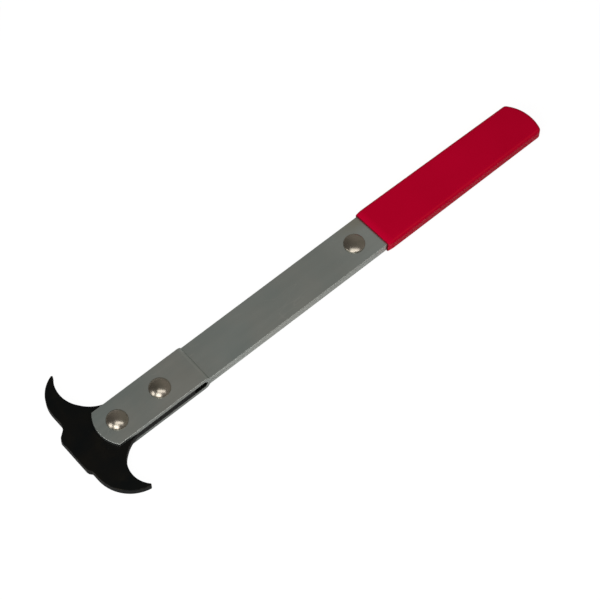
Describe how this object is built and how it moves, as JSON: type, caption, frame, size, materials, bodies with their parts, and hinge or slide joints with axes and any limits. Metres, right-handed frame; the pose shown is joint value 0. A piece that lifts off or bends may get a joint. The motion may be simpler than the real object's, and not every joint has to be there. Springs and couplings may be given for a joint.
{
  "type": "oil seal puller",
  "caption": "Flat hand tool with a black plate of opposed curved hooks riveted between joggled steel bars and a red vinyl grip, for levering oil seals out of their bores.",
  "frame": {"origin": "middle of the flat heel face of the hook blade, on the handle's centreline, in the plane where the two bars meet", "axes": "+X along the handle from the heel to the butt of the grip, +Z square to the bars towards the domed rivet heads, +Y towards the large hook"},
  "size_m": [0.3414, 0.0882, 0.016],
  "materials": {
    "black_blade": "satin",
    "grey_steel": "satin",
    "nickel_rivet": "polished",
    "red_vinyl": "satin"
  },
  "bodies": {
    "root": {"hook_blade": "black_blade", "upper_bar": "grey_steel", "lower_bar": "grey_steel", "tip_rivet": "nickel_rivet", "tang_rivet": "nickel_rivet", "handle_rivet": "nickel_rivet", "grip": "red_vinyl"}
  },
  "joints": []
}
